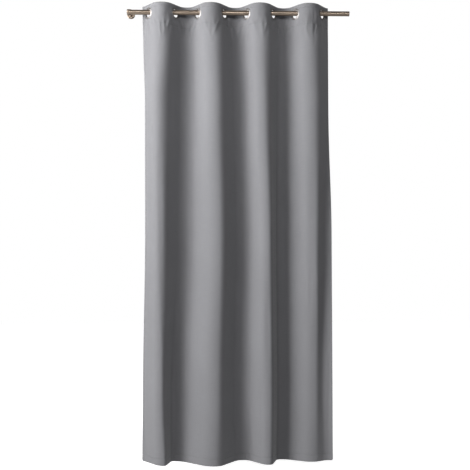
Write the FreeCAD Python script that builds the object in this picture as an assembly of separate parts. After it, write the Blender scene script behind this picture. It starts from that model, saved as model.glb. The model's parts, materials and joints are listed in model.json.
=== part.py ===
import FreeCAD, Part
import math
import os

# An eyelet curtain panel hung on its rod, in millimetres.
# X runs along the rod, to the right as seen from the room. Y runs from the room to the wall, Z is up.
# The origin is on the rod's axis, at the middle of the panel as it hangs.
# Folds are numbered from the left. Each fold is the strip of cloth about one eyelet, from one fold line
# to the next. Odd folds run from a trough at the wall side to a crest at the room side, even folds back.

V = FreeCAD.Vector
X_AXIS = V(1, 0, 0)
Y_AXIS = V(0, 1, 0)
Z_AXIS = V(0, 0, 1)

# The panel
FOLDS = 8
CREST_SPAN = 153.0  # from eyelet to eyelet along the rod, as hung, with a crest between them
TROUGH_SPAN = 127.0  # the same, with a trough between them
PANEL_DROP = 2600.0  # top edge to hem, finished
SIDE_MARGIN = 63.0  # cloth beyond the first and the last eyelet
TOP_MARGIN = 50.0  # cloth above an eyelet's centre
FOLD_SLOPE = math.radians(51.8)  # of the cloth at an eyelet, from the rod's axis
SEAT = 33.0  # half the flat width of cloth that an eyelet sits on

# Layers of cloth, each measured through its thickness
CLOTH = 0.8
STIFFENER = 0.5
LAYER_GAP = 0.3
HEADER_HEIGHT = 120.0
HEM_HEIGHT = 40.0
SIDE_HEM_WIDTH = 25.0
LABEL_SIZE = (26.0, 45.0)
LABEL_ABOVE_HEM = 160.0
LABEL_THICKNESS = 0.4
LABEL_FROM_EDGE = 3.0

# Room left at the fold lines, along the cloth, so that the strips can turn
CLOTH_EASE = 0.6
LINING_EASE = 2.6

# Eyelets
EYELET_HOLE_R = 22.0
EYELET_RIM_R = 33.0
EYELET_BEAD = 5.0  # radius of the rounded inner edge
EYELET_BARREL_R = 24.0
EYELET_RIM_THICKNESS = 1.0
EYELET_PLAY = 0.05
EYELET_GRIP_GAP = 0.1  # between a ring and the cloth under it
EYELET_DROP = 5.5  # an eyelet's centre hangs this far below the rod's axis

# Rod
ROD_R = 14.0
ROD_WALL = 1.2
ROD_LEFT = -615.0
ROD_RIGHT = 652.0
PLUG_FLANGE = 2.0
PLUG_DEPTH = 18.0

# Bracket
CUP_R = 16.5
CUP_LENGTH = 24.0
CUP_FLOOR = 3.0
CUP_EDGE_R = 1.5
PLAY = 0.05  # between a screw, a plug or the rod and its hole
CUP_GROOVE = (1.5, 2.0)  # depth and width of the turned groove
CUP_GROOVE_FROM_MOUTH = 3.0
ARM_R = 6.0
PLATE_R = 23.0
PLATE_THICKNESS = 5.0
PLATE_EDGE_R = 2.0
PLATE_RISE = 15.0  # the plate's centre is this far above the rod's axis
WALL_Y = 100.0
PLATE_HOLE_R = 2.2
PLATE_HOLE_SPACING = 28.0
COUNTERSINK_R = 4.2
SCREW_R = 2.0
SCREW_HEAD = (4.0, 2.6)  # radius and height
SLOT = (1.0, 1.2)  # width and depth of a screw's slot
SET_SCREW_PROUD = 1.0  # how far the set screw stands out of the cup

# Angles round the eyelet's rounded inner edge, from the outward radius towards the wall
BACK_CROWN_ANGLE = 90.0
LIP_START_ANGLE = 140.0
BARREL_END_ANGLE = 142.0
FRONT_CROWN_ANGLE = 270.0

# Worked out
PANEL_SPAN = (CREST_SPAN + TROUGH_SPAN) * FOLDS / 2 - TROUGH_SPAN  # from the first eyelet to the last
CREST_R = (CREST_SPAN / 2 - SEAT * math.cos(FOLD_SLOPE)) / math.sin(FOLD_SLOPE)
TROUGH_R = (TROUGH_SPAN / 2 - SEAT * math.cos(FOLD_SLOPE)) / math.sin(FOLD_SLOPE)
HALF_CREST = SEAT + CREST_R * FOLD_SLOPE  # cloth from an eyelet's centre to a crest's fold line
HALF_TROUGH = SEAT + TROUGH_R * FOLD_SLOPE
EYELET_Z = -EYELET_DROP
TOP_Z = EYELET_Z + TOP_MARGIN
BOTTOM_Z = TOP_Z - PANEL_DROP
STIFFENER_NEAR = CLOTH / 2 + LAYER_GAP
TURNOVER_NEAR = STIFFENER_NEAR + STIFFENER + LAYER_GAP
TURNOVER_FAR = TURNOVER_NEAR + CLOTH
HEM_NEAR = CLOTH / 2 + LAYER_GAP
HEM_FAR = HEM_NEAR + CLOTH
# Where the eyelet's two rings grip the cloth, and the middle of their rounded edge
GRIP_FRONT = -CLOTH / 2 - EYELET_GRIP_GAP
GRIP_BACK = TURNOVER_FAR + EYELET_GRIP_GAP
BEAD_R = EYELET_HOLE_R + EYELET_BEAD
BEAD_H = (GRIP_FRONT + GRIP_BACK) / 2
CUP_X = ROD_LEFT - CUP_FLOOR
CUP_MOUTH_X = CUP_X + CUP_LENGTH
CUP_MIDDLE_X = CUP_X + CUP_LENGTH / 2
PLATE_FRONT = WALL_Y - PLATE_THICKNESS


def export(shape, node):
    shape.exportStep(os.path.join("parts", node + ".step"))


def eyelet_x(fold):
    return fold // 2 * CREST_SPAN + (fold - 1) // 2 * TROUGH_SPAN - PANEL_SPAN / 2


def lean(fold):
    """1 for a fold that runs towards the room as X grows, -1 for one that runs towards the wall."""
    return 1 if fold % 2 else -1


def plan_point(fold, along, offset):
    """A point of a fold's plan line: along the cloth from its eyelet, and offset towards the wall."""
    radius = CREST_R if along * lean(fold) > 0 else TROUGH_R
    turn = max(0.0, abs(along) - SEAT) / radius
    slope = FOLD_SLOPE - turn
    straight = min(abs(along), SEAT)
    x = straight * math.cos(FOLD_SLOPE) + radius * (math.sin(FOLD_SLOPE) - math.sin(slope))
    y = straight * math.sin(FOLD_SLOPE) + radius * (math.cos(slope) - math.cos(FOLD_SLOPE))
    side = math.copysign(1, along)
    back = V(lean(fold) * math.sin(slope), math.cos(slope), 0)
    return V(eyelet_x(fold) + side * x, -side * lean(fold) * y, 0) + back * offset


def plan_edges(fold, start, end, offset):
    """The edges of a fold's plan line between two distances: arcs with a straight seat between them."""
    stops = [start] + [s for s in (-SEAT, SEAT) if start < s < end] + [end]
    edges = []
    for a, b in zip(stops, stops[1:]):
        middle = (a + b) / 2
        first, last = plan_point(fold, a, offset), plan_point(fold, b, offset)
        if abs(middle) < SEAT:
            edges.append(Part.LineSegment(first, last).toShape())
        else:
            edges.append(Part.Arc(first, plan_point(fold, middle, offset), last).toShape())
    return edges


def layer(fold, start, end, near, far, bottom, top):
    """A layer of cloth that follows a fold, from near to far towards the wall."""
    edges = plan_edges(fold, start, end, near) + plan_edges(fold, start, end, far)
    for s in (start, end):
        edges.append(Part.LineSegment(plan_point(fold, s, near), plan_point(fold, s, far)).toShape())
    outline = Part.Wire(Part.__sortEdges__(edges))
    outline.translate(Z_AXIS * bottom)
    return Part.Face(outline).extrude(Z_AXIS * (top - bottom))


def reach(fold, ease):
    """Where a fold's cloth starts and ends: at the panel's side edge, or short of a fold line."""
    left, right = (HALF_TROUGH, HALF_CREST) if lean(fold) > 0 else (HALF_CREST, HALF_TROUGH)
    start = -SIDE_MARGIN if fold == 1 else ease - left
    end = SIDE_MARGIN if fold == FOLDS else right - ease
    return start, end


def at_eyelet(fold, shape):
    """Moves a shape made about +Z to a fold's eyelet, with +Z towards the wall."""
    back = V(lean(fold) * math.sin(FOLD_SLOPE), math.cos(FOLD_SLOPE), 0)
    place = FreeCAD.Placement(V(eyelet_x(fold), 0, EYELET_Z), FreeCAD.Rotation(Z_AXIS, back))
    return shape.transformed(place.toMatrix())


def punch(fold, shape):
    """Cuts the eyelet's hole through a layer."""
    tool = Part.makeCylinder(EYELET_BARREL_R + LAYER_GAP, SEAT, V(0, 0, -SEAT / 2))
    return shape.cut(at_eyelet(fold, tool))


def revolve(points_and_arcs):
    """Turns a closed outline in (radius, height) about Z. Each entry is a corner or an arc's three points."""
    edges = []
    for entry in points_and_arcs:
        points = [V(r, 0, h) for r, h in entry]
        if len(points) == 3:
            edges.append(Part.Arc(*points).toShape())
        else:
            edges.append(Part.LineSegment(*points).toShape())
    return Part.Face(Part.Wire(edges)).revolve(V(0, 0, 0), Z_AXIS, 360)


def bead(angle):
    """A point on the rounded inner edge, at an angle from the outward radius towards the wall."""
    a = math.radians(angle)
    return BEAD_R + EYELET_BEAD * math.cos(a), BEAD_H + EYELET_BEAD * math.sin(a)


def eyelet_front():
    barrel_end = bead(BARREL_END_ANGLE)
    crown = bead(FRONT_CROWN_ANGLE)
    rim_front = GRIP_FRONT - EYELET_RIM_THICKNESS
    outer_barrel = (EYELET_BARREL_R, barrel_end[1])
    return revolve([
        (barrel_end, bead((BARREL_END_ANGLE + FRONT_CROWN_ANGLE) / 2), crown),
        (crown, (EYELET_RIM_R, rim_front)),
        ((EYELET_RIM_R, rim_front), (EYELET_RIM_R, GRIP_FRONT)),
        ((EYELET_RIM_R, GRIP_FRONT), (EYELET_BARREL_R, GRIP_FRONT)),
        ((EYELET_BARREL_R, GRIP_FRONT), outer_barrel),
        (outer_barrel, barrel_end),
    ])


def eyelet_back():
    lip_start = bead(LIP_START_ANGLE)
    crown = bead(BACK_CROWN_ANGLE)
    seat_r = EYELET_BARREL_R + EYELET_PLAY
    rim_back = GRIP_BACK + EYELET_RIM_THICKNESS
    return revolve([
        (lip_start, bead((LIP_START_ANGLE + BACK_CROWN_ANGLE) / 2), crown),
        (crown, (EYELET_RIM_R, rim_back)),
        ((EYELET_RIM_R, rim_back), (EYELET_RIM_R, GRIP_BACK)),
        ((EYELET_RIM_R, GRIP_BACK), (seat_r, GRIP_BACK)),
        ((seat_r, GRIP_BACK), (seat_r, lip_start[1])),
        ((seat_r, lip_start[1]), lip_start),
    ])


def make_fold(fold, front_ring, back_ring):
    cloth_start, cloth_end = reach(fold, CLOTH_EASE)
    start, end = reach(fold, LINING_EASE)
    header_z = TOP_Z - HEADER_HEIGHT
    cloth = layer(fold, cloth_start, cloth_end, -CLOTH / 2, CLOTH / 2, BOTTOM_Z, TOP_Z)
    stiffener = layer(fold, start, end, STIFFENER_NEAR, STIFFENER_NEAR + STIFFENER, header_z, TOP_Z - CLOTH)
    turnover = layer(fold, start, end, TURNOVER_NEAR, TURNOVER_FAR, header_z, TOP_Z)
    hem = layer(fold, start, end, HEM_NEAR, HEM_FAR, BOTTOM_Z, BOTTOM_Z + HEM_HEIGHT)
    export(punch(fold, cloth), f"fabric_fold_{fold}")
    export(punch(fold, stiffener), f"heading_stiffener_{fold}")
    export(punch(fold, turnover), f"header_turnover_{fold}")
    export(hem, f"bottom_hem_{fold}")
    export(at_eyelet(fold, front_ring), f"eyelet_front_{fold}")
    export(at_eyelet(fold, back_ring), f"eyelet_back_{fold}")


def make_side_hems():
    bottom = BOTTOM_Z + HEM_HEIGHT + LAYER_GAP
    top = TOP_Z - HEADER_HEIGHT - LAYER_GAP
    inner = SIDE_MARGIN - SIDE_HEM_WIDTH
    export(layer(1, -SIDE_MARGIN, -inner, HEM_NEAR, HEM_FAR, bottom, top), "side_hem_left")
    export(layer(FOLDS, inner, SIDE_MARGIN, HEM_NEAR, HEM_FAR, bottom, top), "side_hem_right")


def make_care_label():
    width, height = LABEL_SIZE
    near = HEM_FAR + LAYER_GAP
    start = LABEL_FROM_EDGE - SIDE_MARGIN
    bottom = BOTTOM_Z + LABEL_ABOVE_HEM
    label = layer(1, start, start + width, near, near + LABEL_THICKNESS, bottom, bottom + height)
    export(label, "care_label")


def make_rod():
    length = ROD_RIGHT - ROD_LEFT
    start = V(ROD_LEFT, 0, 0)
    outside = Part.makeCylinder(ROD_R, length, start, X_AXIS)
    inside = Part.makeCylinder(ROD_R - ROD_WALL, length, start, X_AXIS)
    export(outside.cut(inside), "rod_tube")
    flange = Part.makeCylinder(ROD_R, PLUG_FLANGE, V(ROD_RIGHT, 0, 0), X_AXIS)
    spigot_start = V(ROD_RIGHT - PLUG_DEPTH, 0, 0)
    spigot = Part.makeCylinder(ROD_R - ROD_WALL - PLAY, PLUG_DEPTH, spigot_start, X_AXIS)
    export(flange.fuse(spigot).removeSplitter(), "rod_end_plug")


def slotted_head(centre, axis, slot_across):
    """A pan head with a screwdriver slot, standing on centre along axis."""
    radius, height = SCREW_HEAD
    head = Part.makeCylinder(radius, height, centre, axis)
    slot_width, slot_depth = SLOT
    across = slot_across * radius * 3
    side = axis.cross(slot_across) * slot_width
    corner = centre + axis * (height - slot_depth) - across * 0.5 - side * 0.5
    outline = Part.makePolygon([corner, corner + across, corner + across + side, corner + side, corner])
    return head.cut(Part.Face(outline).extrude(axis * slot_depth * 2))


def make_cup():
    groove_depth, groove_width = CUP_GROOVE
    cup = Part.makeCylinder(CUP_R, CUP_LENGTH, V(CUP_X, 0, 0), X_AXIS)
    closed_end = [e for e in cup.Edges if e.BoundBox.XMax < CUP_MIDDLE_X]
    cup = cup.makeFillet(CUP_EDGE_R, closed_end)
    pocket = Part.makeCylinder(ROD_R + PLAY, CUP_LENGTH, V(ROD_LEFT, 0, 0), X_AXIS)
    groove_x = CUP_MOUTH_X - CUP_GROOVE_FROM_MOUTH - groove_width
    groove = Part.makeCylinder(CUP_R * 2, groove_width, V(groove_x, 0, 0), X_AXIS)
    groove = groove.cut(Part.makeCylinder(CUP_R - groove_depth, groove_width, V(groove_x, 0, 0), X_AXIS))
    end_hole = Part.makeCylinder(SCREW_R + PLAY, CUP_FLOOR, V(CUP_X, 0, 0), X_AXIS)
    set_hole = Part.makeCylinder(SCREW_R + PLAY, CUP_R, V(CUP_MIDDLE_X, 0, 0), -Z_AXIS)
    return cup.cut(pocket).cut(groove).cut(end_hole).cut(set_hole)


def make_screws():
    shank = Part.makeCylinder(SCREW_R, CUP_FLOOR, V(CUP_X, 0, 0), X_AXIS)
    head = slotted_head(V(CUP_X, 0, 0), -X_AXIS, Z_AXIS)
    export(head.fuse(shank).removeSplitter(), "end_screw")
    top = ROD_R + PLAY
    length = CUP_R + SET_SCREW_PROUD - top
    grub = Part.makeCylinder(SCREW_R, length, V(CUP_MIDDLE_X, 0, -top), -Z_AXIS)
    socket = Part.makeCylinder(SCREW_R / 2, length / 2, V(CUP_MIDDLE_X, 0, -top - length / 2), -Z_AXIS)
    export(grub.cut(socket), "set_screw")


def make_arm():
    """A round arm that rises from the back of the cup to the middle of the wall plate."""
    start = V(CUP_MIDDLE_X, 0, 0)
    end = V(CUP_MIDDLE_X, WALL_Y, PLATE_RISE)
    arm = Part.makeCylinder(ARM_R, (end - start).Length, start, end - start)
    cup = Part.makeCylinder(CUP_R, CUP_LENGTH * 2, V(CUP_X - CUP_LENGTH / 2, 0, 0), X_AXIS)
    plate = Part.makeCylinder(PLATE_R, PLATE_R, V(CUP_MIDDLE_X, PLATE_FRONT, PLATE_RISE), Y_AXIS)
    return arm.cut(cup).cut(plate)


def make_plate():
    centre = V(CUP_MIDDLE_X, PLATE_FRONT, PLATE_RISE)
    plate = Part.makeCylinder(PLATE_R, PLATE_THICKNESS, centre, Y_AXIS)
    room_side = [e for e in plate.Edges if e.BoundBox.YMax < WALL_Y - PLATE_EDGE_R]
    plate = plate.makeFillet(PLATE_EDGE_R, room_side)
    sink_depth = COUNTERSINK_R - PLATE_HOLE_R
    for side in (-1, 1):
        start = centre + Z_AXIS * side * PLATE_HOLE_SPACING / 2
        hole = Part.makeCylinder(PLATE_HOLE_R, PLATE_THICKNESS, start, Y_AXIS)
        sink = Part.makeCone(COUNTERSINK_R, PLATE_HOLE_R, sink_depth, start, Y_AXIS)
        plate = plate.cut(hole).cut(sink)
    return plate


os.makedirs("parts", exist_ok=True)
FRONT_RING = eyelet_front()
BACK_RING = eyelet_back()
for number in range(1, FOLDS + 1):
    make_fold(number, FRONT_RING, BACK_RING)
make_side_hems()
make_care_label()
make_rod()
export(make_cup(), "bracket_cup")
export(make_arm(), "bracket_arm")
export(make_plate(), "wall_plate")
make_screws()
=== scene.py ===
import json
import math
import random

import bpy
import numpy as np
from mathutils import Matrix, Vector

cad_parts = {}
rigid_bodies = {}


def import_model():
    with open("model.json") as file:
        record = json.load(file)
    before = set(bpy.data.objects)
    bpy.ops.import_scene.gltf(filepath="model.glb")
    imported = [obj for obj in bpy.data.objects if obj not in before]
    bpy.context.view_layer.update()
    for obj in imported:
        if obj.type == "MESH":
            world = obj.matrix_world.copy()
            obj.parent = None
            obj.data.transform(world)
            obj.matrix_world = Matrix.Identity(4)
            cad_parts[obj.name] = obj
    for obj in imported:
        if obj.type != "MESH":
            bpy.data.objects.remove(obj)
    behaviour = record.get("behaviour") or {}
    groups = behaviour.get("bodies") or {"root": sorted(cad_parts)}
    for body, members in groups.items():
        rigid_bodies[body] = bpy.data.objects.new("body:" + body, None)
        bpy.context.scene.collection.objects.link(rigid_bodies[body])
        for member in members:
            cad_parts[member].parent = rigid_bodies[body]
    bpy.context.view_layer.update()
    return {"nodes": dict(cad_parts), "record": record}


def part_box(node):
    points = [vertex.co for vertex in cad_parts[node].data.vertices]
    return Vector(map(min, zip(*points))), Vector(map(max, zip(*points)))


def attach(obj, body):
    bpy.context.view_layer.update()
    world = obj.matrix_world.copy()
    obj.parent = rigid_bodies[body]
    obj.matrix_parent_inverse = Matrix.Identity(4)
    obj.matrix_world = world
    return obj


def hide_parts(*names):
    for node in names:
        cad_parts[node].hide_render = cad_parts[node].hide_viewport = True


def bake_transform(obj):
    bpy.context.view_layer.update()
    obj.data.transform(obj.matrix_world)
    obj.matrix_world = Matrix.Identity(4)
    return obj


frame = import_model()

# An eyelet curtain panel on its rod, in metres, in the CAD frame: X along the rod, Y towards the wall, Z up.
# The cloth is one draped surface, cut into spans at the upright planes through the eyelets. The spans between
# eyelets stay where they are made, and the two edge spans ride on the first and the last fold.

MM = 0.001
JOINTS = frame["record"]["behaviour"]["joints"]
ROOT = JOINTS[0]["parent"]
FOLDS = len(JOINTS)

# Places taken from the frame
FOLD_LINES = [j["pos_m"][0] for j in JOINTS[1:]]
CREST_DEPTH = JOINTS[1]["pos_m"][1]
TROUGH_DEPTH = JOINTS[2]["pos_m"][1]
EYELET_X = [JOINTS[0]["pos_m"][0]]
for fold_line in FOLD_LINES:
    EYELET_X.append(2 * fold_line - EYELET_X[-1])
CREST_GAP = EYELET_X[1] - EYELET_X[0]
TROUGH_GAP = EYELET_X[2] - EYELET_X[1]
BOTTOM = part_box("fabric_fold_1")[0].z
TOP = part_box("fabric_fold_1")[1].z
LEFT_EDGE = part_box("fabric_fold_1")[0].x
RIGHT_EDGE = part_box(f"fabric_fold_{FOLDS}")[1].x
DROP = TOP - BOTTOM
EYELET_Z = sum(c.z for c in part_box("eyelet_front_1")) / 2

# The cloth, as it is sewn
CLOTH = 0.8 * MM
TURN_OFFSET = 1.9 * MM  # from the middle of the panel to the middle of its turned-over header or hem
SIDE_TURN_OFFSET = 1.1 * MM
HEADER = 120 * MM
HEM = 40 * MM
SIDE_HEM = 25 * MM
SIDE_TURN = 0.72 * SIDE_HEM  # the side hem's width along the rod, because the cloth slants there
FLAT_MARGIN = 63 * MM  # cloth beyond an end eyelet
STITCH_INSET = 3 * MM  # a stitch line's distance from the turned edge that it holds
TOP_STITCH = 22 * MM
STITCH_WIDTH, STITCH_DEPTH = 2.8 * MM, 1.0 * MM  # the dent along a stitch line
CORNER_R = 9 * MM  # the hem's rounded lower corners
LABEL_RISE = 160 * MM
LABEL_WIDTH, LABEL_HEIGHT, LABEL_THICKNESS = 26 * MM, 45 * MM, 0.4 * MM
LABEL_INSET = 4 * MM
STITCH_STEP = 4.5 * MM
STITCH_LENGTH = 3.4 * MM
THREAD_R = 0.28 * MM
THREAD_PITCH = 0.9 * MM  # of the weave

# The rod and the cup that holds its left end
ROD_R = 14 * MM
ROD_WALL = 1.2 * MM
CUP_FLOOR = 3 * MM
CUP_EDGE_R = 1.5 * MM
CUP_GROOVE = (1.5 * MM, 2 * MM)  # depth and width
CUP_GROOVE_INSET = 3 * MM  # from the cup's mouth
CUP_LIP = 0.5 * MM
CUP_PLAY = 0.05 * MM
END_HOLE_R = 2.05 * MM

# Eyelets, in their own (radius, height towards the wall) profile
SEAT = 33 * MM
SEAT_SLOPE = math.radians(51.8)
HOLE_R = 22 * MM
RIM_R = 33 * MM
CLOTH_HOLE_R = 26 * MM
GRIP_FRONT = -CLOTH / 2 - 0.1 * MM  # where the front ring meets the cloth
GRIP_BACK = TURN_OFFSET + CLOTH / 2 + 0.1 * MM
BEAD = 5 * MM  # radius of the rounded inner edge, whose circle is about (BEAD_R, BEAD_H)
BEAD_R = HOLE_R + BEAD
BEAD_H = (GRIP_FRONT + GRIP_BACK) / 2
BARREL_R = 24 * MM
RIM = 1.0 * MM  # thickness of the ring's outer rim


def flat_gap(gap):
    """Cloth from one eyelet to the next, whose centres are this far apart on the rod."""
    return 2 * (SEAT + (gap / 2 - SEAT * math.cos(SEAT_SLOPE)) / math.sin(SEAT_SLOPE) * SEAT_SLOPE)


# The drape -----------------------------------------------------------------------------------------------

# How far each fold line wanders sideways from its place at the rod, at these shares of the drop from the top.
# The columns are trough, crest, trough ... from beyond the left edge to beyond the right edge.
LEVELS = np.array([0.0, 0.033, 0.08, 0.22, 0.50, 0.85, 1.0])
WANDER = MM * np.array([
    [0, 0, 0, 0, 0, 0, 0, 0, 0, 0],
    [0, 0, 0, 0, 0, 0, 0, 0, 0, 0],
    [2, 4, -6, 20, 12, 14, 0, 12, 10, 0],
    [6, -14, -2, 28, 22, 21, -14, 22, 0, 0],
    [10, -5, -22, 46, 31, 43, -30, 30, -42, -50],
    [2, -2, -72, 30, 16, 48, -28, 26, -68, -90],
    [0, 12, -76, 18, 38, 44, -34, 20, -56, -90],
])
# How deep each fold line stands, as a share of its depth at the rod, before the cloth's width is restored
DEPTHS = np.array([
    [1, 1, 1, 1, 1, 1, 1, 1, 1, 1],
    [1, 1, 1, 1, 1, 1, 1, 1, 1, 1],
    [1, 1, 1, 1, 1, 1, 1, 1, 1, 1],
    [1.0, 0.95, 1, 1, 1, 1, 1, 0.85, 0.5, 0.8],
    [1.0, 0.95, 1.0, 1.02, 1.0, 0.98, 0.95, 0.75, 0.0, 0.6],
    [1.1, 0.85, 0.95, 1.0, 0.95, 0.92, 0.9, 0.6, -0.35, 0.8],
    [1.1, 0.7, 0.85, 1.0, 0.95, 0.85, 0.8, 0.5, -0.3, 0.7],
])
# How far the left and the right side edge stand from their places in the frame
EDGES = MM * np.array([[6, -3], [8, -3], [12, -4], [22, -7], [23, 4], [10, 0], [6, 0]])
# Share of each half wave that hangs flat between its two bends
SEAT_SHARE = 4 * SEAT * math.cos(SEAT_SLOPE) / (CREST_GAP + TROUGH_GAP)
FLATNESS = np.array([SEAT_SHARE, SEAT_SHARE, SEAT_SHARE, 0.35, 0.42, 0.42, 0.38])
# Share of each half wave that belongs to its crest
CREST_SHARE = CREST_GAP / (CREST_GAP + TROUGH_GAP)
CREST_SHARES = np.array([CREST_SHARE, CREST_SHARE, CREST_SHARE, 0.53, 0.5, 0.5, 0.5])
LAST_TROUGH = EYELET_X[-1] + TROUGH_GAP / 2
HALF_PITCH = (CREST_GAP + TROUGH_GAP) / 2
KNOTS = np.array([EYELET_X[0] - TROUGH_GAP / 2] + FOLD_LINES + [LAST_TROUGH, LAST_TROUGH + HALF_PITCH])
CRESTS = np.arange(len(KNOTS)) % 2 == 1
KNOT_DEPTHS = np.where(CRESTS, CREST_DEPTH, TROUGH_DEPTH)
WAVES = len(KNOTS) - 1


def eased(table, z):
    """Rows of a table between LEVELS, at heights z, with a smooth change from level to level."""
    share = np.clip((TOP - z) / DROP, 0, 1)
    low = np.clip(np.searchsorted(LEVELS, share, side="right") - 1, 0, len(LEVELS) - 2)
    t = (share - LEVELS[low]) / (LEVELS[low + 1] - LEVELS[low])
    t = t * t * (3 - 2 * t)
    t = t.reshape(t.shape + (1,) * (table.ndim - 1))
    return table[low] * (1 - t) + table[low + 1] * t


def half_wave_slope(half, depth, flat):
    """The slope of a half wave's flat part, for half of its width, half of its depth and the flat share."""
    low, high = np.zeros_like(depth), np.full_like(depth, math.radians(85))
    for _ in range(40):
        slope = (low + high) / 2
        reach = half * flat * np.tan(slope) + half * (1 - flat) * np.tan(slope / 2)
        low, high = np.where(reach < depth, slope, low), np.where(reach < depth, high, slope)
    return (low + high) / 2


def cloth_width(knots, edges, slope, flat):
    """The length of the plan line between the side edges, at each height."""
    half = np.diff(knots, axis=1) / 2
    whole = 2 * half * (flat / np.cos(slope) + (1 - flat) / np.sin(slope) * slope)
    left, right = (np.clip((edges[:, n:n + 1] - knots[:, :-1]) / (2 * half), 0, 1) for n in (0, 1))
    return (whole * (right - left)).sum(axis=1)


def plan_table(z):
    """The cloth's plan line at heights z, as one row of numbers per height that PlanRows reads."""
    knots = KNOTS + eased(WANDER, z)
    edges = np.array([LEFT_EDGE, RIGHT_EDGE]) + eased(EDGES, z)
    flat = eased(FLATNESS, z)[:, None]
    half = np.diff(knots, axis=1) / 2
    depths = KNOT_DEPTHS * eased(DEPTHS, z)
    at_rod = half_wave_slope(half, np.abs(np.diff(depths, axis=1)) / 2, flat)[-1:]
    wanted = cloth_width(knots[-1:], edges[-1:], at_rod, flat[-1:])
    low, high = np.full(len(z), 0.5), np.full(len(z), 1.8)
    for _ in range(24):
        share = (low + high) / 2
        slope = half_wave_slope(half, np.abs(np.diff(depths * share[:, None], axis=1)) / 2, flat)
        short = cloth_width(knots, edges, slope, flat) < wanted
        low, high = np.where(short, share, low), np.where(short, high, share)
    depths = depths * share[:, None]
    crest_first = CRESTS[:-1]
    crest_share = eased(CREST_SHARES, z)[:, None]
    left_half = 2 * half * np.where(crest_first, crest_share, 1 - crest_share)
    straight = half * flat
    left_radius = (left_half - straight) / np.sin(slope)
    right_radius = (2 * half - left_half - straight) / np.sin(slope)
    rise = straight * np.tan(slope) + left_radius * (1 - np.cos(slope))
    centre_depth = depths[:, :-1] + np.where(crest_first, rise, -rise)
    return np.hstack([knots, knots[:, :-1] + left_half, centre_depth, slope, straight,
                      left_radius, right_radius, edges])


PLAN_STEP = 5 * MM
PLAN_ROWS = int(DROP / PLAN_STEP) + 1
PLAN = plan_table(np.linspace(BOTTOM, TOP, PLAN_ROWS))


class PlanRows:
    """The plan line of the cloth at each of some heights: fold lines, flats, bends and side edges."""

    def __init__(self, z):
        at = np.clip((z - BOTTOM) / DROP, 0, 1) * (PLAN_ROWS - 1)
        low = np.minimum(at.astype(int), PLAN_ROWS - 2)
        t = (at - low)[:, None]
        rows = PLAN[low] * (1 - t) + PLAN[low + 1] * t
        self.knots, rest = rows[:, :WAVES + 1], rows[:, WAVES + 1:]
        self.waves = np.stack([rest[:, n * WAVES:(n + 1) * WAVES] for n in range(6)], axis=0)
        self.edges = rest[:, 6 * WAVES:]

    def y(self, x):
        """The cloth's place towards the wall, for x with one row per height."""
        wave = (x[:, :, None] >= self.knots[:, None, 1:-1]).sum(axis=2)
        centre, depth, slope, straight, left, right = self.waves[:, np.arange(len(x))[:, None], wave]
        off = x - centre
        radius = np.where(off > 0, right, left)
        past = np.maximum(np.abs(off) - straight, 0)
        bend = np.arcsin(np.clip(np.sin(slope) - past / radius, -1, 1))
        rise = np.minimum(np.abs(off), straight) * np.tan(slope) + radius * (np.cos(bend) - np.cos(slope))
        return depth + np.where(wave % 2 == 0, -1, 1) * np.sign(off) * rise


# Creases: ranges in mm, counts, and slants as sideways over down. A fan's spreads multiply its step and slant.
FAN_SPREADS = (-2, -1.2, -0.4, 0.4, 1.2, 2)
FAN_STEP, FAN_LENGTH, FAN_HEIGHT, FAN_WIDTH, FAN_SLANT = (8, 11), (100, 190), (2.4, 3.8), (6, 10), 0.2
PUCKER_STEP, PUCKER_RISE = (11, 26), (15, 50)
PUCKER_LENGTH, PUCKER_HEIGHT, PUCKER_WIDTH, PUCKER_SLANT = (60, 150), (1.4, 3.4), (5, 8), 0.1
HEADER_CREASES, HEADER_TOP = 30, (0, 35)
HEADER_LENGTH, HEADER_HEIGHT, HEADER_WIDTH, HEADER_SLANT = (80, 150), (1.0, 2.8), (7, 14), 0.2
LONG_CREASES, LONG_LENGTH, LONG_HEIGHT, LONG_WIDTH, LONG_SLANT = 40, (400, 1300), (0.8, 2.4), (9, 22), 0.03
EYELET_GRIP, EYELET_EASE = 2 * MM, 14 * MM  # past a ring: held flat, then coming free


def make_creases():
    """Soft creases as (x, top z, length, slant, width, height): fans at the eyelets, puckers along the
    header's stitch line, short ones in the header, and long soft ones down the panel."""
    dice = random.Random(11)
    creases = []

    def size(limits):
        return dice.uniform(*limits) * MM

    def either_way(limits):
        return size(limits) * dice.choice((-1, 1))

    def slant(most):
        return dice.uniform(-most, most)

    for x in EYELET_X:
        for spread in FAN_SPREADS:
            start, length = x + spread * size(FAN_STEP), size(FAN_LENGTH)
            height = either_way(FAN_HEIGHT)
            creases.append((start, EYELET_Z - RIM_R / 2, length, spread * FAN_SLANT, size(FAN_WIDTH), height))
    at = LEFT_EDGE
    while at < RIGHT_EDGE:
        at += size(PUCKER_STEP)
        height = either_way(PUCKER_HEIGHT)
        top = TOP - HEADER + size(PUCKER_RISE)
        creases.append((at, top, size(PUCKER_LENGTH), slant(PUCKER_SLANT), size(PUCKER_WIDTH), height))
    for _ in range(HEADER_CREASES):
        start, top = dice.uniform(LEFT_EDGE, RIGHT_EDGE), TOP - size(HEADER_TOP)
        height, length = either_way(HEADER_HEIGHT), size(HEADER_LENGTH)
        creases.append((start, top, length, slant(HEADER_SLANT), size(HEADER_WIDTH), height))
    for _ in range(LONG_CREASES):
        start, top = dice.uniform(LEFT_EDGE, RIGHT_EDGE), dice.uniform(TOP - 60 * MM, BOTTOM + 500 * MM)
        length, height = size(LONG_LENGTH), either_way(LONG_HEIGHT)
        creases.append((start, top, length, slant(LONG_SLANT), size(LONG_WIDTH), height))
    return creases


CREASES = make_creases()


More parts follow.
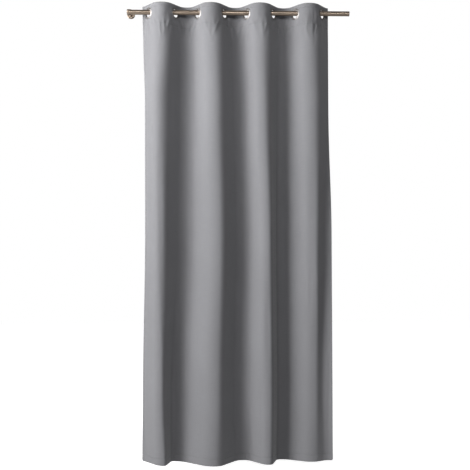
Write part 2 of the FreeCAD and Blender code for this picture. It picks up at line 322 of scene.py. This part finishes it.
def crease_height(x, z):
    """The creases' sum at x, with one row per height. The eyelets hold the cloth under them flat."""
    total = np.zeros_like(x)
    for start, top, length, slant, width, height in CREASES:
        share = np.clip((top - z) / length, 0, 1)
        fade = (np.sin(math.pi * share ** 0.7) ** 2)[:, None]
        across = (x - start - slant * (top - z)[:, None]) / width
        total += height * fade * np.exp(-across ** 2)
    for centre in EYELET_X:
        from_centre = np.hypot((x - centre) / math.cos(SEAT_SLOPE), (z - EYELET_Z)[:, None])
        free = np.clip((from_centre - RIM_R - EYELET_GRIP) / EYELET_EASE, 0, 1)
        total *= free * free * (3 - 2 * free)
    return total


def drape(x, z):
    """The middle of the cloth at x, with one row per height z, and the direction towards its back."""
    rows = PlanRows(z)
    step = 0.5 * MM

    def depth(x_at, z_at, at_rows):
        return at_rows.y(x_at) + crease_height(x_at, z_at)

    y = depth(x, z, rows)
    along = (depth(x + step, z, rows) - depth(x - step, z, rows)) / (2 * step)
    lower, upper = np.maximum(z - 4 * step, BOTTOM), np.minimum(z + 4 * step, TOP)
    change = depth(x, upper, PlanRows(upper)) - depth(x, lower, PlanRows(lower))
    up = change / (upper - lower)[:, None]
    back = np.stack([-along, np.ones_like(y), -up], axis=2)
    back /= np.linalg.norm(back, axis=2, keepdims=True)
    return y, back


# Meshes --------------------------------------------------------------------------------------------------

CELL = 4.6 * MM  # width of the cloth's cells along the rod
SEAM = 0.003  # share of a span in the narrow cell at its end
HEADER_ROWS = 420 * MM  # how far down from the top the rows stand close together
RING_SEGMENTS, ROD_SEGMENTS = 72, 96


def new_object(name, vertices, faces, smooth=True, uvs=None):
    mesh = bpy.data.meshes.new(name)
    mesh.from_pydata([tuple(v) for v in vertices], [], [tuple(f) for f in faces])
    if uvs is not None:
        layer = mesh.uv_layers.new(name="Weave")
        for loop in mesh.loops:
            layer.data[loop.index].uv = uvs[loop.vertex_index]
    mesh.validate()
    mesh.polygons.foreach_set("use_smooth", [smooth] * len(mesh.polygons))
    obj = bpy.data.objects.new(name, mesh)
    bpy.context.scene.collection.objects.link(obj)
    return obj


def apply_modifiers(obj):
    """Puts the object's modifiers into its mesh."""
    graph = bpy.context.evaluated_depsgraph_get()
    made = bpy.data.meshes.new_from_object(obj.evaluated_get(graph), depsgraph=graph)
    obj.modifiers.clear()
    old, obj.data = obj.data, made
    bpy.data.meshes.remove(old)


def thicken(obj, thickness):
    """Makes a sheet a closed solid of this thickness about its middle, with crisp cut edges."""
    solid = obj.modifiers.new("Thickness", "SOLIDIFY")
    solid.thickness = thickness
    solid.offset = 0
    apply_modifiers(obj)
    obj.data.set_sharp_from_angle(angle=math.radians(60))


def arc(centre, radius, start, end, steps):
    """Points of an arc, in degrees, without its ends."""
    angles = np.radians(np.linspace(start, end, steps + 2)[1:-1])
    return [(centre[0] + radius * math.cos(a), centre[1] + radius * math.sin(a)) for a in angles]


def spaced(start, end, step):
    """Evenly spaced numbers from start to end, at most step apart, with both ends."""
    count = max(1, math.ceil(abs(end - start) / step))
    return list(np.linspace(start, end, count + 1))


def heights():
    """Heights of the panel's rows, from hem to top, and of its stitch lines, with close rows beside them."""
    header_edge = TOP - HEADER
    lines = [BOTTOM + HEM - STITCH_INSET, header_edge + STITCH_INSET, TOP - TOP_STITCH]
    rough = spaced(BOTTOM, BOTTOM + CORNER_R, 1.5 * MM)
    rough += spaced(BOTTOM + CORNER_R, BOTTOM + HEM, 7 * MM)[1:]
    rough += spaced(BOTTOM + HEM, TOP - HEADER_ROWS, 19 * MM)[1:]
    rough += spaced(TOP - HEADER_ROWS, header_edge, 9 * MM)[1:]
    rough += spaced(header_edge, TOP, 4 * MM)[1:]
    for line in lines:
        rough = [z for z in rough if abs(z - line) > 6 * MM]
        rough += [line + step * MM for step in (-5, -3, -1.8, -0.8, 0, 0.8, 1.8, 3, 5)]
    return sorted(rough), lines


def cross_section():
    """The cloth's line from the hem's turned-up edge, down, up the front, over the top and down behind it.

    It comes as heights, offsets towards the wall and lengths along the cloth from the turned-up edge."""
    rows, lines = heights()
    radius = TURN_OFFSET / 2

    def pinch(z):
        return sum(math.exp(-((z - line) / STITCH_WIDTH) ** 2) for line in lines) * STITCH_DEPTH

    front = [(z, pinch(z)) for z in rows if BOTTOM + radius < z < TOP - radius]
    hem = [(z, TURN_OFFSET - pinch(z)) for z in rows if BOTTOM + radius < z < BOTTOM + HEM]
    header = [(z, TURN_OFFSET - pinch(z)) for z in rows if TOP - HEADER < z < TOP - radius]
    hem_fold = [(z, o) for o, z in arc((radius, BOTTOM + radius), radius, 0, -180, 4)]
    top_fold = [(z, o) for o, z in arc((radius, TOP - radius), radius, 180, 0, 4)]
    line = hem[::-1] + hem_fold + front + top_fold + header[::-1]
    lengths = np.cumsum([0] + [math.dist(a, b) for a, b in zip(line, line[1:])])
    return np.array([z for z, _ in line]), np.array([o for _, o in line]), lengths


def columns(span):
    """A span's columns as (place, offset): place runs from 0 at its left to 1 at its right.

    Cells beside an eyelet's plane are narrow, so that two spans shade as one cloth. At a side edge the
    cloth turns back on itself for the side hem."""
    inside = spaced(SEAM, 1 - SEAM, CELL / CREST_GAP)
    if 0 < span < FOLDS:
        places = [0] + inside + [1]
        return np.array(places), np.zeros(len(places))
    width = EYELET_X[0] - LEFT_EDGE
    turn, radius = SIDE_TURN / width, SIDE_TURN_OFFSET / 2
    fold = [(x / width, o) for x, o in arc((radius, radius), radius, 90, 270, 4)]
    back = [(p, SIDE_TURN_OFFSET) for p in spaced(turn, radius / width, CELL / width)]
    front = [(p, 0.0) for p in spaced(radius / width, 1 - SEAM, CELL / width) + [1]]
    line = back + fold + front
    if span == FOLDS:
        line = [(1 - p, o) for p, o in line[::-1]]
    return np.array([p for p, _ in line]), np.array([o for _, o in line])


def span_ends(span, z):
    """The span's left and right ends at each height: an eyelet's plane, or the cloth's side edge."""
    edges = PlanRows(z).edges
    past = np.clip((BOTTOM + CORNER_R - z) / CORNER_R, 0, 1)
    inset = CORNER_R * (1 - np.sqrt(1 - past ** 2))
    left = np.full(len(z), EYELET_X[span - 1]) if span else edges[:, 0] + inset
    right = np.full(len(z), EYELET_X[span]) if span < FOLDS else edges[:, 1] - inset
    return left, right


def open_eyelets(x, z):
    """Moves grid points in an eyelet's hole onto its edge. Returns the points and which ones lay there."""
    inside = np.zeros(x.shape, bool)
    for centre in EYELET_X:
        across, up = (x - centre) / math.cos(SEAT_SLOPE), z - EYELET_Z
        r = np.hypot(across, up)
        near = r < CLOTH_HOLE_R
        scale = np.where(near & (r > 0), CLOTH_HOLE_R / np.maximum(r, 1e-9), 1)
        x = np.where(near, centre + across * scale * math.cos(SEAT_SLOPE), x)
        z = np.where(near, EYELET_Z + up * scale, z)
        inside |= near
    return x, z, inside


def drape_points(x, z, offset):
    """Places on the cloth for grids of x and z, moved towards its back by offset."""
    flat_x, flat_z = x.reshape(-1, 1), z.reshape(-1)
    y, back = drape(flat_x, flat_z)
    points = np.stack([flat_x, y, flat_z[:, None]], axis=2) + back * offset.reshape(-1, 1, 1)
    return points.reshape(x.shape + (3,))


LIFT_START = 0.5  # distance below the top where the cloth begins to ride up
HEM_LIFT, HEM_SAG = 14, 3  # in mm, at the hem


def lift_hem(points):
    """Lets the hem ride up a little towards the right, as the cloth hangs."""
    across = np.clip((points[..., 0] - LEFT_EDGE) / (RIGHT_EDGE - LEFT_EDGE), 0, 1)
    low = np.clip((TOP - LIFT_START - points[..., 2]) / (DROP - LIFT_START), 0, 1)
    points[..., 2] += (HEM_LIFT * across ** 3 - HEM_SAG * np.sin(math.pi * across)) * MM * low ** 2
    return points


def sheet_grid(x, z, offset, inside):
    """Vertices and faces of a grid, without the faces that lie in a hole, and the grid points they use."""
    rows, cols = x.shape
    points = lift_hem(drape_points(x, z, offset)).reshape(-1, 3)
    faces = []
    for j in range(rows - 1):
        for i in range(cols - 1):
            if not inside[j:j + 2, i:i + 2].all():
                a = j * cols + i
                faces.append((a, a + 1, a + cols + 1, a + cols))
    used = sorted({v for f in faces for v in f})
    renumber = {v: n for n, v in enumerate(used)}
    return points[used], [tuple(renumber[v] for v in f) for f in faces], used


def flat_width(span):
    """The width of a span's cloth, without a side hem."""
    if 0 < span < FOLDS:
        return flat_gap(CREST_GAP if span % 2 else TROUGH_GAP)
    return FLAT_MARGIN


def make_span(span, material):
    """One span of the cloth: panel, header turnover, hem and side hem in one folded piece."""
    section_z, section_offset, section_length = cross_section()
    place, column_offset = columns(span)
    left, right = span_ends(span, section_z)
    x = left[:, None] + (right - left)[:, None] * place[None, :]
    z = np.repeat(section_z[:, None], len(place), axis=1)
    offset = section_offset[:, None] + column_offset[None, :]
    x, z, inside = open_eyelets(x, z)
    points, faces, used = sheet_grid(x, z, offset, inside)
    width = flat_width(span)
    start = sum(flat_width(n) for n in range(span))
    u = start + width * np.repeat(place[None, :], len(section_z), axis=0)
    v = np.repeat(section_length[:, None], len(place), axis=1)
    uvs = np.stack([u, v], axis=2).reshape(-1, 2)[used]
    obj = new_object(f"curtain_span_{span}", points, faces, uvs=uvs)
    thicken(obj, CLOTH)
    obj.data.materials.append(material)
    return obj


def make_label(material):
    """The blank care label, sewn on the left side hem behind the cloth."""
    height = BOTTOM + LABEL_RISE
    z = np.array(spaced(height, height + LABEL_HEIGHT, 5 * MM))
    edge = PlanRows(z).edges[:, :1]
    lean = math.cos(SEAT_SLOPE)
    across = np.array(spaced(LABEL_INSET, LABEL_INSET + LABEL_WIDTH, 3 * MM)) * lean
    x = edge + across[None, :]
    z = np.repeat(z[:, None], len(across), axis=1)
    back = SIDE_TURN_OFFSET + CLOTH / 2 + LABEL_THICKNESS
    points, faces, _ = sheet_grid(x, z, np.full(x.shape, back), np.zeros(x.shape, bool))
    obj = new_object("care_label_tape", points, faces)
    thicken(obj, LABEL_THICKNESS)
    obj.data.materials.append(material)
    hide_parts("care_label")
    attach(obj, "fold_1")
    return obj


def beads(name, centres, directions, length, radius, material):
    """Small closed thread stitches, each a four-sided spindle along its direction."""
    vertices, faces = [], []
    for centre, direction in zip(centres, directions):
        direction = Vector(direction).normalized()
        side = direction.orthogonal().normalized()
        up = direction.cross(side)
        base = len(vertices)
        centre = Vector(centre)
        vertices.append(centre - direction * length / 2)
        for share in (-0.25, 0.25):
            for s, u in ((1, 0), (0, 1), (-1, 0), (0, -1)):
                vertices.append(centre + direction * length * share + (side * s + up * u) * radius)
        vertices.append(centre + direction * length / 2)
        for n in range(4):
            m = (n + 1) % 4
            faces.append((base, base + 1 + m, base + 1 + n))
            faces.append((base + 1 + n, base + 1 + m, base + 5 + m, base + 5 + n))
            faces.append((base + 9, base + 5 + n, base + 5 + m))
    obj = new_object(name, vertices, faces)
    obj.data.materials.append(material)
    return obj


def along_line(x, z):
    """Evenly spaced stitch centres and directions on the draped line through x and z, with its back."""
    y, back = drape(x[:, None], z)
    points = lift_hem(np.stack([x, y[:, 0], z], axis=1))
    lengths = np.concatenate([[0], np.cumsum(np.linalg.norm(np.diff(points, axis=0), axis=1))])
    at = np.arange(STITCH_STEP / 2, lengths[-1], STITCH_STEP)
    centres = np.stack([np.interp(at, lengths, points[:, c]) for c in range(3)], axis=1)
    backs = np.stack([np.interp(at, lengths, back[:, 0, c]) for c in range(3)], axis=1)
    ahead = np.stack([np.interp(at + MM, lengths, points[:, c]) for c in range(3)], axis=1)
    behind = np.stack([np.interp(at - MM, lengths, points[:, c]) for c in range(3)], axis=1)
    return centres, ahead - behind, backs


def make_stitching(span, material):
    """The stitch lines of one span: under the top, at the header's edge, at the hem and at a side hem."""
    _, lines = heights()
    count = 60
    routes = []
    for height in lines:
        z = np.full(count, height)
        left, right = span_ends(span, z)
        routes.append((left + (right - left) * np.linspace(0.01, 0.99, count), z, TURN_OFFSET))
    if span in (0, FOLDS):
        z = np.linspace(BOTTOM + HEM, TOP - HEADER, 200)
        left, right = span_ends(span, z)
        inset = SIDE_TURN - STITCH_INSET
        routes.append((left + inset if span == 0 else right - inset, z, SIDE_TURN_OFFSET))
    centres, directions = [], []
    for x, z, back_offset in routes:
        places, ways, backs = along_line(x, z)
        front_offset = -CLOTH / 2 + 0.2 * MM
        for offset in (front_offset, back_offset + CLOTH / 2 - 0.2 * MM):
            centres += list(places + backs * offset)
            directions += list(ways)
    return beads(f"stitching_{span}", centres, directions, STITCH_LENGTH, THREAD_R, material)


def lathe(name, profile, segments, place, material):
    """A closed ring turned from a closed (radius, height) outline about Z, then moved to its place."""
    vertices, faces, count = [], [], len(profile)
    for s in range(segments):
        a = 2 * math.pi * s / segments
        vertices += [place @ Vector((r * math.cos(a), r * math.sin(a), h)) for r, h in profile]
        for n in range(count):
            m = (n + 1) % count
            t = (s + 1) % segments
            faces.append((s * count + n, t * count + n, t * count + m, s * count + m))
    obj = new_object(name, vertices, faces)
    obj.data.set_sharp_from_angle(angle=math.radians(40))
    obj.data.materials.append(material)
    return obj


def ring_outline(side, inner_start):
    """Half of the eyelet as (radius, height): side -1 is the front ring with its barrel, 1 the back ring."""
    grip = GRIP_FRONT if side < 0 else GRIP_BACK
    crown = (BEAD_R, BEAD_H + side * BEAD)
    inner_edge = arc((BEAD_R, BEAD_H), BEAD, inner_start, 180 - side * 90, 14)
    rim_face = grip + side * RIM
    dish = []
    for t in (0.25, 0.5, 0.75, 1.0):
        bow = 0.35 * t + 0.65 * t * t
        dish.append((BEAD_R + (RIM_R - RIM - BEAD_R) * t, crown[1] + (rim_face - crown[1]) * bow))
    rim = arc((RIM_R - RIM / 2, grip + side * RIM / 2), RIM / 2, side * 90, 0, 3)
    start = arc((BEAD_R, BEAD_H), BEAD, inner_start - 1, inner_start + 1, 1)
    barrel = BARREL_R if side < 0 else BARREL_R + 0.05 * MM
    flange = [(RIM_R, grip + side * RIM / 4), (RIM_R - RIM / 4, grip), (barrel, grip)]
    return start + inner_edge + [crown] + dish + rim + flange + [(barrel, start[0][1])]


def eyelet_place(fold):
    """Moves a ring made about +Z to a fold's eyelet, with +Z towards the wall."""
    lean = 1 if fold % 2 else -1
    back = Vector((lean * math.sin(SEAT_SLOPE), math.cos(SEAT_SLOPE), 0))
    turn = back.to_track_quat("Z", "Y").to_matrix().to_4x4()
    return Matrix.Translation((EYELET_X[fold - 1], 0, EYELET_Z)) @ turn


# Materials -----------------------------------------------------------------------------------------------

def new_material(name):
    material = bpy.data.materials.new(name)
    material.use_nodes = True
    nodes = material.node_tree.nodes
    return material, nodes, material.node_tree.links, nodes["Principled BSDF"]


def math_node(nodes, links, operation, first, second=None, third=None):
    node = nodes.new("ShaderNodeMath")
    node.operation = operation
    for socket, value in zip(node.inputs, (first, second, third)):
        if value is None:
            continue
        if isinstance(value, (int, float)):
            socket.default_value = value
        else:
            links.new(value, socket)
    return node.outputs[0]


def noise_node(nodes, links, vector, scale, detail=2.0, roughness=0.5):
    node = nodes.new("ShaderNodeTexNoise")
    node.inputs["Scale"].default_value = scale
    node.inputs["Detail"].default_value = detail
    node.inputs["Roughness"].default_value = roughness
    links.new(vector, node.inputs["Vector"])
    return node.outputs["Fac"]


def stretched(nodes, links, vector, scale):
    node = nodes.new("ShaderNodeMapping")
    node.inputs["Scale"].default_value = scale
    links.new(vector, node.inputs["Vector"])
    return node.outputs["Vector"]


def two_tone(nodes, links, factor, colour, dark, light):
    """The colour, from dark times it where factor is low to light times it where factor is high."""
    node = nodes.new("ShaderNodeValToRGB")
    for element, position, share in zip(node.color_ramp.elements, (0.3, 0.7), (dark, light)):
        element.position = position
        element.color = (*[c * share for c in colour], 1)
    links.new(factor, node.inputs["Fac"])
    return node.outputs["Color"]


def bump_node(nodes, links, height, strength, distance, normal=None):
    node = nodes.new("ShaderNodeBump")
    node.inputs["Strength"].default_value = strength
    node.inputs["Distance"].default_value = distance
    links.new(height, node.inputs["Height"])
    if normal is not None:
        links.new(normal, node.inputs["Normal"])
    return node.outputs["Normal"]


CLOTH_COLOUR = (0.13, 0.13, 0.137)


def make_cloth_material():
    """Plain weave with slubs, a soft sheen and a faint shade change along the yarns."""
    material, nodes, links, shader = new_material("grey_weave")
    uv = nodes.new("ShaderNodeUVMap")
    uv.uv_map = "Weave"
    split = nodes.new("ShaderNodeSeparateXYZ")
    links.new(uv.outputs["UV"], split.inputs["Vector"])
    waves = []
    for axis in (0, 1):
        turns = math_node(nodes, links, "MULTIPLY", split.outputs[axis], 2 * math.pi / THREAD_PITCH)
        waves.append(math_node(nodes, links, "SINE", turns))
    weave = math_node(nodes, links, "MULTIPLY", waves[0], waves[1])
    warp = noise_node(nodes, links, stretched(nodes, links, uv.outputs["UV"], (700, 14, 1)), 1.0, 3.0)
    weft = noise_node(nodes, links, stretched(nodes, links, uv.outputs["UV"], (18, 620, 1)), 1.0, 3.0)
    slubs = math_node(nodes, links, "ADD", warp, weft)
    cloudy = noise_node(nodes, links, stretched(nodes, links, uv.outputs["UV"], (5, 2.2, 1)), 1.0, 4.0)
    clouds = math_node(nodes, links, "MULTIPLY", cloudy, 0.3)
    tone = math_node(nodes, links, "MULTIPLY_ADD", slubs, 0.35, clouds)
    links.new(two_tone(nodes, links, tone, CLOTH_COLOUR, 0.86, 1.14), shader.inputs["Base Color"])
    rough = math_node(nodes, links, "MULTIPLY_ADD", slubs, 0.12, 0.72)
    links.new(rough, shader.inputs["Roughness"])
    fine = bump_node(nodes, links, weave, 0.35, 0.12 * MM)
    links.new(bump_node(nodes, links, slubs, 0.5, 0.25 * MM, fine), shader.inputs["Normal"])
    shader.inputs["Sheen Weight"].default_value = 0.25
    shader.inputs["Sheen Roughness"].default_value = 0.45
    shader.inputs["Specular IOR Level"].default_value = 0.25
    return material


def make_thread_material():
    """Sewing thread, with a tone that changes along each stitch."""
    material, nodes, links, shader = new_material("grey_thread")
    place = nodes.new("ShaderNodeTexCoord").outputs["Object"]
    tone = noise_node(nodes, links, place, 1500.0)
    links.new(two_tone(nodes, links, tone, CLOTH_COLOUR, 0.75, 1.3), shader.inputs["Base Color"])
    links.new(bump_node(nodes, links, tone, 0.4, 0.1 * MM), shader.inputs["Normal"])
    shader.inputs["Roughness"].default_value = 0.55
    return material


def make_metal_material(name, colour, roughness, grain, metallic=1.0):
    """Plated or painted metal with fine brushing along grain, soft wear and a little tone change."""
    material, nodes, links, shader = new_material(name)
    place = nodes.new("ShaderNodeTexCoord").outputs["Object"]
    brushed = noise_node(nodes, links, stretched(nodes, links, place, grain), 1.0, 3.0)
    worn = noise_node(nodes, links, place, 30.0, 4.0, 0.5)
    wear = math_node(nodes, links, "MULTIPLY", worn, 0.65)
    mixed = math_node(nodes, links, "MULTIPLY_ADD", brushed, 0.35, wear)
    links.new(two_tone(nodes, links, mixed, colour, 0.9, 1.08), shader.inputs["Base Color"])
    rough = math_node(nodes, links, "MULTIPLY_ADD", worn, 0.06, roughness - 0.03)
    links.new(rough, shader.inputs["Roughness"])
    links.new(bump_node(nodes, links, brushed, 0.1, 0.02 * MM), shader.inputs["Normal"])
    shader.inputs["Metallic"].default_value = metallic
    return material


def make_plastic_material(name, colour):
    """Matt plastic with a fine grain, which the label's tape has too."""
    material, nodes, links, shader = new_material(name)
    place = nodes.new("ShaderNodeTexCoord").outputs["Object"]
    grain = noise_node(nodes, links, place, 900.0, 3.0)
    links.new(two_tone(nodes, links, grain, colour, 0.8, 1.25), shader.inputs["Base Color"])
    rough = math_node(nodes, links, "MULTIPLY_ADD", grain, 0.2, 0.45)
    links.new(rough, shader.inputs["Roughness"])
    links.new(bump_node(nodes, links, grain, 0.3, 0.1 * MM), shader.inputs["Normal"])
    return material


# The scene -----------------------------------------------------------------------------------------------

def look_along(yaw, pitch, roll):
    """A camera turn: yaw is to the right of +Y, pitch is up, roll is anticlockwise, in degrees."""
    level = Matrix.Rotation(math.radians(90 + pitch), 4, "X")
    return Matrix.Rotation(math.radians(-yaw), 4, "Z") @ level @ Matrix.Rotation(math.radians(roll), 4, "Z")


CAMERA_PLACE, CAMERA_TURN, CAMERA_LENS = (-0.137, -4.2, -1.377), (1.79, 1.44, -0.135), 56.67


def make_camera():
    camera = bpy.data.cameras.new("Camera")
    camera.sensor_width = 36
    camera.lens = CAMERA_LENS
    camera.clip_end = 100
    obj = bpy.data.objects.new("Camera", camera)
    obj.matrix_world = Matrix.Translation(CAMERA_PLACE) @ look_along(*CAMERA_TURN)
    bpy.context.scene.collection.objects.link(obj)
    bpy.context.scene.camera = obj


def area_light(name, place, target, size, power):
    light = bpy.data.lights.new(name, "AREA")
    light.shape = "RECTANGLE"
    light.size, light.size_y = size
    light.energy = power
    obj = bpy.data.objects.new(name, light)
    obj.location = place
    obj.rotation_euler = (Vector(target) - Vector(place)).to_track_quat("-Z", "Y").to_euler()
    bpy.context.scene.collection.objects.link(obj)


def make_world():
    """Soft light from above and from the wall's side, in front of a plain white background."""
    world = bpy.data.worlds.new("Studio")
    bpy.context.scene.world = world
    world.use_nodes = True
    nodes, links = world.node_tree.nodes, world.node_tree.links
    split = nodes.new("ShaderNodeSeparateXYZ")
    links.new(nodes.new("ShaderNodeTexCoord").outputs["Generated"], split.inputs["Vector"])
    total = 0.05
    for axis, start, end, strength in (("Y", -0.3, 0.6, 0.42), ("Z", 0.45, 0.95, 0.08)):
        span = nodes.new("ShaderNodeMapRange")
        span.interpolation_type = "SMOOTHSTEP"
        for socket, value in (("From Min", start), ("From Max", end), ("To Max", strength)):
            span.inputs[socket].default_value = value
        links.new(split.outputs[axis], span.inputs["Value"])
        total = math_node(nodes, links, "ADD", span.outputs["Result"], total)
    seen = nodes.new("ShaderNodeLightPath").outputs["Is Camera Ray"]
    links.new(math_node(nodes, links, "MAXIMUM", total, seen), nodes["Background"].inputs["Strength"])
    nodes["Background"].inputs["Color"].default_value = (1, 1, 1, 1)


def make_stage():
    """A plain pale floor, a little below the hem. Only the camera sees its glow."""
    far, wall_side, height = 30, 9, BOTTOM - 60 * MM
    corners = [(-far, -far, height), (far, -far, height), (far, wall_side, height), (-far, wall_side, height)]
    floor = new_object("floor", corners, [(0, 1, 2, 3)], smooth=False)
    material, nodes, links, shader = new_material("pale_floor")
    shader.inputs["Base Color"].default_value = (0.7, 0.7, 0.7, 1)
    shader.inputs["Roughness"].default_value = 0.9
    shader.inputs["Emission Color"].default_value = (1, 1, 1, 1)
    seen = nodes.new("ShaderNodeLightPath").outputs["Is Camera Ray"]
    links.new(math_node(nodes, links, "MULTIPLY", seen, 0.8), shader.inputs["Emission Strength"])
    floor.data.materials.append(material)


CLOTH_LAYERS = ("fabric_fold", "heading_stiffener", "header_turnover", "bottom_hem")


def make_curtain(cloth, thread, label):
    """The spans with their stitches. Each but the last stands in for one fold's layers of cloth."""
    for span in range(FOLDS + 1):
        piece = make_span(span, cloth)
        stitches = make_stitching(span, thread)
        if span < FOLDS:
            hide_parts(*[f"{layer}_{span + 1}" for layer in CLOTH_LAYERS])
        if span == 0:
            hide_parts("side_hem_left")
        if span == FOLDS:
            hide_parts("side_hem_right")
        for part in (piece, stitches):
            if 0 < span < FOLDS:
                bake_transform(part)
            else:
                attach(part, "fold_1" if span == 0 else f"fold_{FOLDS}")
        sewn_on = [stitches, make_label(label)] if span == 0 else [stitches]


def make_eyelets(metal):
    """Both rings of each eyelet, whose rounded inner edges start 2 degrees apart."""
    for fold in range(1, FOLDS + 1):
        place = eyelet_place(fold)
        for side, start, node in ((-1, 142, "eyelet_front"), (1, 140, "eyelet_back")):
            ring = lathe(f"{node}_ring_{fold}", ring_outline(side, start), RING_SEGMENTS, place, metal)
            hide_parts(f"{node}_{fold}")
            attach(ring, f"fold_{fold}")


def turned(node, outline, metal):
    """A smooth turned piece in place of a CAD node, from its (radius, distance from the left end) outline."""
    place = Matrix.Translation((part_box(node)[0].x, 0, 0)) @ Matrix.Rotation(math.pi / 2, 4, "Y")
    piece = lathe(f"{node}_turned", outline, ROD_SEGMENTS, place, metal)
    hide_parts(node)
    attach(piece, ROOT)


def make_rod(metal):
    low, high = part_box("rod_tube")
    length = high.x - low.x
    inner, edge = ROD_R - ROD_WALL, 0.3 * MM
    turned("rod_tube", [(inner, 0), (ROD_R - edge, 0), (ROD_R, edge), (ROD_R, length - edge),
                        (ROD_R - edge, length), (inner, length)], metal)


def make_cup(metal):
    low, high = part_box("bracket_cup")
    radius, length = (high.z - low.z) / 2, high.x - low.x
    depth, width = CUP_GROOVE
    groove_end = length - CUP_GROOVE_INSET
    corner = arc((radius - CUP_EDGE_R, CUP_EDGE_R), CUP_EDGE_R, -90, 0, 5)
    groove = [(radius, groove_end - width), (radius - depth, groove_end - width),
              (radius - depth, groove_end), (radius, groove_end)]
    lip = [(radius, length - CUP_LIP), (radius - CUP_LIP, length), (ROD_R + CUP_PLAY, length)]
    pocket = [(ROD_R + CUP_PLAY, CUP_FLOOR), (END_HOLE_R, CUP_FLOOR)]
    turned("bracket_cup", [(END_HOLE_R, 0), (radius - CUP_EDGE_R, 0)] + corner + groove + lip + pocket, metal)


def dress_cad_nodes(materials):
    """Gives each CAD node that stays visible its finished material."""
    for node, material in materials.items():
        obj = frame["nodes"][node]
        obj.data.materials.clear()
        obj.data.materials.append(material)


make_camera()
make_world()
make_stage()
area_light("Key", (-2.15, -1.2, 0.2), (0, 0, -1.0), (1.6, 1.6), 116)
area_light("Fill", (-6, -3.6, -1.8), (0, 0, -1.6), (3, 3), 560)
area_light("Strip", (0.0, -3.0, 0.35), (0, 0, 0), (3.0, 0.1), 52)
CLOTH_MATERIAL = make_cloth_material()
THREAD_MATERIAL = make_thread_material()
NICKEL = make_metal_material("satin_nickel", (0.22, 0.208, 0.204), 0.5, (300, 300, 300))
BRONZE = make_metal_material("satin_bronze", (0.25, 0.198, 0.155), 0.3, (40, 900, 900), metallic=0.9)
BLACK_STEEL = make_metal_material("black_steel", (0.05, 0.045, 0.04), 0.4, (400, 400, 400), metallic=0.7)
PLUG_PLASTIC = make_plastic_material("dark_plug", (0.10, 0.07, 0.055))
LABEL_TAPE = make_plastic_material("white_tape", (0.7, 0.7, 0.68))
make_curtain(CLOTH_MATERIAL, THREAD_MATERIAL, LABEL_TAPE)
make_eyelets(NICKEL)
make_rod(BRONZE)
make_cup(BRONZE)
dress_cad_nodes({
    "bracket_arm": BRONZE, "wall_plate": BRONZE,
    "set_screw": BLACK_STEEL, "end_screw": BLACK_STEEL, "rod_end_plug": PLUG_PLASTIC,
})
bpy.context.scene.view_settings.view_transform = "Standard"
